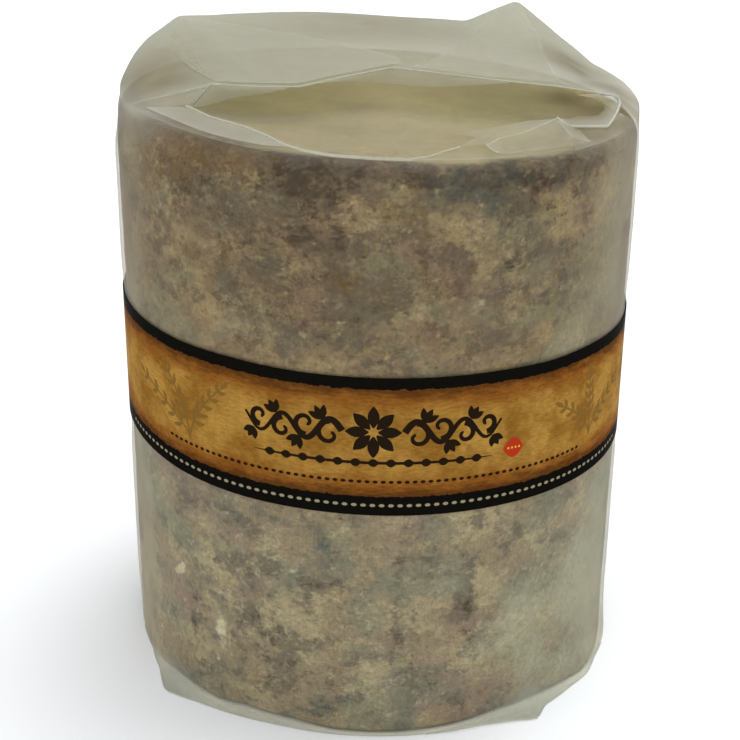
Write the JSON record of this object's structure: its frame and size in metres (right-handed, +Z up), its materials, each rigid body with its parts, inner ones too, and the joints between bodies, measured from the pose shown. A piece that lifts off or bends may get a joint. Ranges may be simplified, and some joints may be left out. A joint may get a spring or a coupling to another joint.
{
  "type": "cloth bound cheddar truckle",
  "caption": "Upright cylindrical cloth bound cheddar with a mottled mouldy rind, in a translucent greaseproof paper wrap folded over the top, with a scorched parchment band round its middle.",
  "frame": {"origin": "centre of the flat underside, on the axis of the cylindrical cheese, level with the surface it stands on", "axes": "+Z up along the axis of the cheese, -Y towards the front of the printed band, +X to the right of someone who looks at the front"},
  "size_m": [0.1298, 0.1323, 0.156],
  "materials": {
    "mouldy_rind": "cloth bound natural rind, mottled grey, brown and cream with mould",
    "greaseproof_paper": "translucent waxed greaseproof paper, satin",
    "printed_card": "scorched parchment print between two dark straps, semi-gloss"
  },
  "bodies": {
    "root": {"cheese_truckle": "mouldy_rind", "paper_wrap": "greaseproof_paper", "label_band": "printed_card"}
  },
  "joints": []
}
